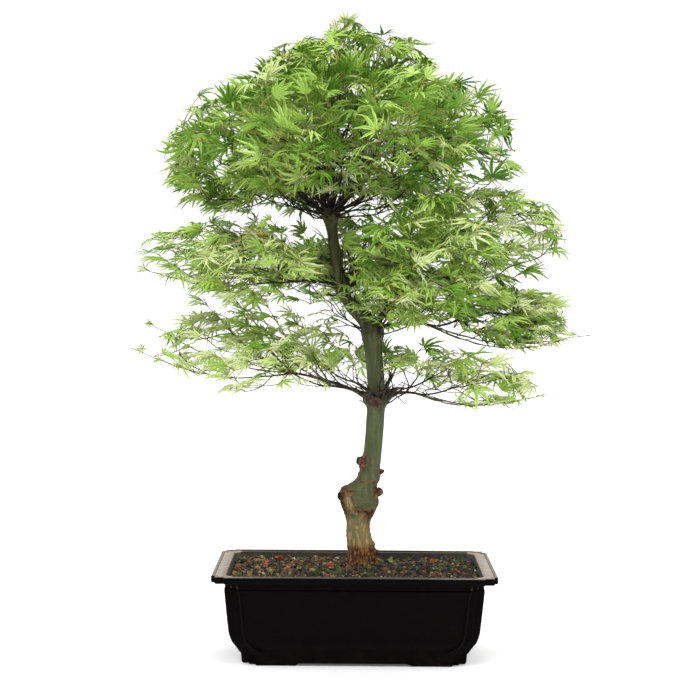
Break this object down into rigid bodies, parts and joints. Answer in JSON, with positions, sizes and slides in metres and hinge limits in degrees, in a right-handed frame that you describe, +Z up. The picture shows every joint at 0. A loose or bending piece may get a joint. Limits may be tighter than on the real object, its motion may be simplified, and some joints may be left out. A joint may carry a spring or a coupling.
{
  "type": "potted japanese maple bonsai",
  "caption": "Grafted bonsai maple with a leaning, forked trunk, tiered palmate foliage and a domed crown, in a rectangular plastic training pot.",
  "frame": {"origin": "middle of the pot's underside, on the surface that it stands on", "axes": "+Z up, +X along the pot's length to the viewer's right, +Y to the back"},
  "size_m": [0.497, 0.3652, 0.7065],
  "materials": {
    "pot": "satin moulded plastic, near black with a brown cast",
    "soil": "coarse gritty potting soil with moss and bark bits",
    "bark": "smooth grey-green bark over a rough tan rootstock",
    "limb": "dull brown-grey bark of thin limbs",
    "leaf": "thin matt leaves, pale along their lobes"
  },
  "bodies": {
    "root": {"pot": "pot", "soil": "soil", "trunk": "bark", "limb_crown_top": "limb", "limb_crown_left": "limb", "limb_crown_left_back": "limb", "limb_crown_right_back": "limb", "limb_crown_right": "limb", "limb_crown_right_front": "limb", "limb_crown_left_front": "limb", "limb_mid_left": "limb", "limb_mid_left_front": "limb", "limb_mid_left_back": "limb", "limb_mid_back": "limb", "limb_mid_right_high": "limb", "limb_mid_right_front": "limb", "limb_mid_right_back": "limb", "limb_mid_right_low": "limb", "limb_low_left": "limb", "limb_low_left_front": "limb", "limb_low_back": "limb", "limb_low_right": "limb", "limb_low_right_back": "limb", "leaves_crown_top": "leaf", "leaves_crown_left": "leaf", "leaves_crown_left_back": "leaf", "leaves_crown_right_back": "leaf", "leaves_crown_right": "leaf", "leaves_crown_right_front": "leaf", "leaves_crown_left_front": "leaf", "leaves_mid_left": "leaf", "leaves_mid_left_front": "leaf", "leaves_mid_left_back": "leaf", "leaves_mid_back": "leaf", "leaves_mid_right_high": "leaf", "leaves_mid_right_front": "leaf", "leaves_mid_right_back": "leaf", "leaves_mid_right_low": "leaf", "leaves_low_left": "leaf", "leaves_low_left_front": "leaf", "leaves_low_back": "leaf", "leaves_low_right": "leaf", "leaves_low_right_back": "leaf"}
  },
  "joints": []
}
